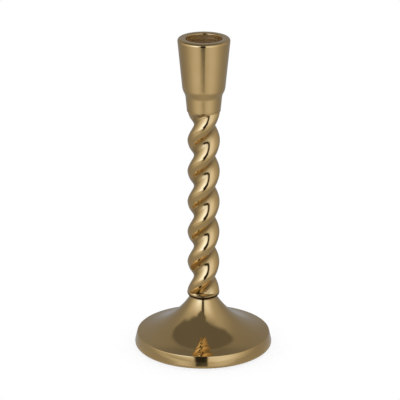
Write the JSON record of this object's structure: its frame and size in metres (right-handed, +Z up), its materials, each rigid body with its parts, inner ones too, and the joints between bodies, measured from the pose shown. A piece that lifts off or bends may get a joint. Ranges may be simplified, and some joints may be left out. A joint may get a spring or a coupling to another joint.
{
  "type": "spiral candle holder",
  "caption": "Candlestick with a flared candle cup, a stem twisted from two round strands and a round dished base on felt.",
  "frame": {"origin": "on the vertical axis of the stem, at the face that the holder rests on", "axes": "+Z up along the stem to the candle cup; the lowest crest of the twist faces +X, and the picture looks along +Y"},
  "size_m": [0.09, 0.09, 0.2089],
  "materials": {
    "lacquered_brass": "polished, clear lacquered",
    "zinc_plated_steel": "bright zinc plated",
    "spring_steel": "hardened, dark",
    "brown_felt": "pressed wool felt"
  },
  "bodies": {
    "root": {"candle_cup": "lacquered_brass", "twisted_stem": "lacquered_brass", "base_dish": "lacquered_brass", "cup_stud": "zinc_plated_steel", "base_stud": "zinc_plated_steel", "flat_washer": "zinc_plated_steel", "spring_washer": "spring_steel", "hex_nut": "zinc_plated_steel", "base_felt": "brown_felt"}
  },
  "joints": []
}
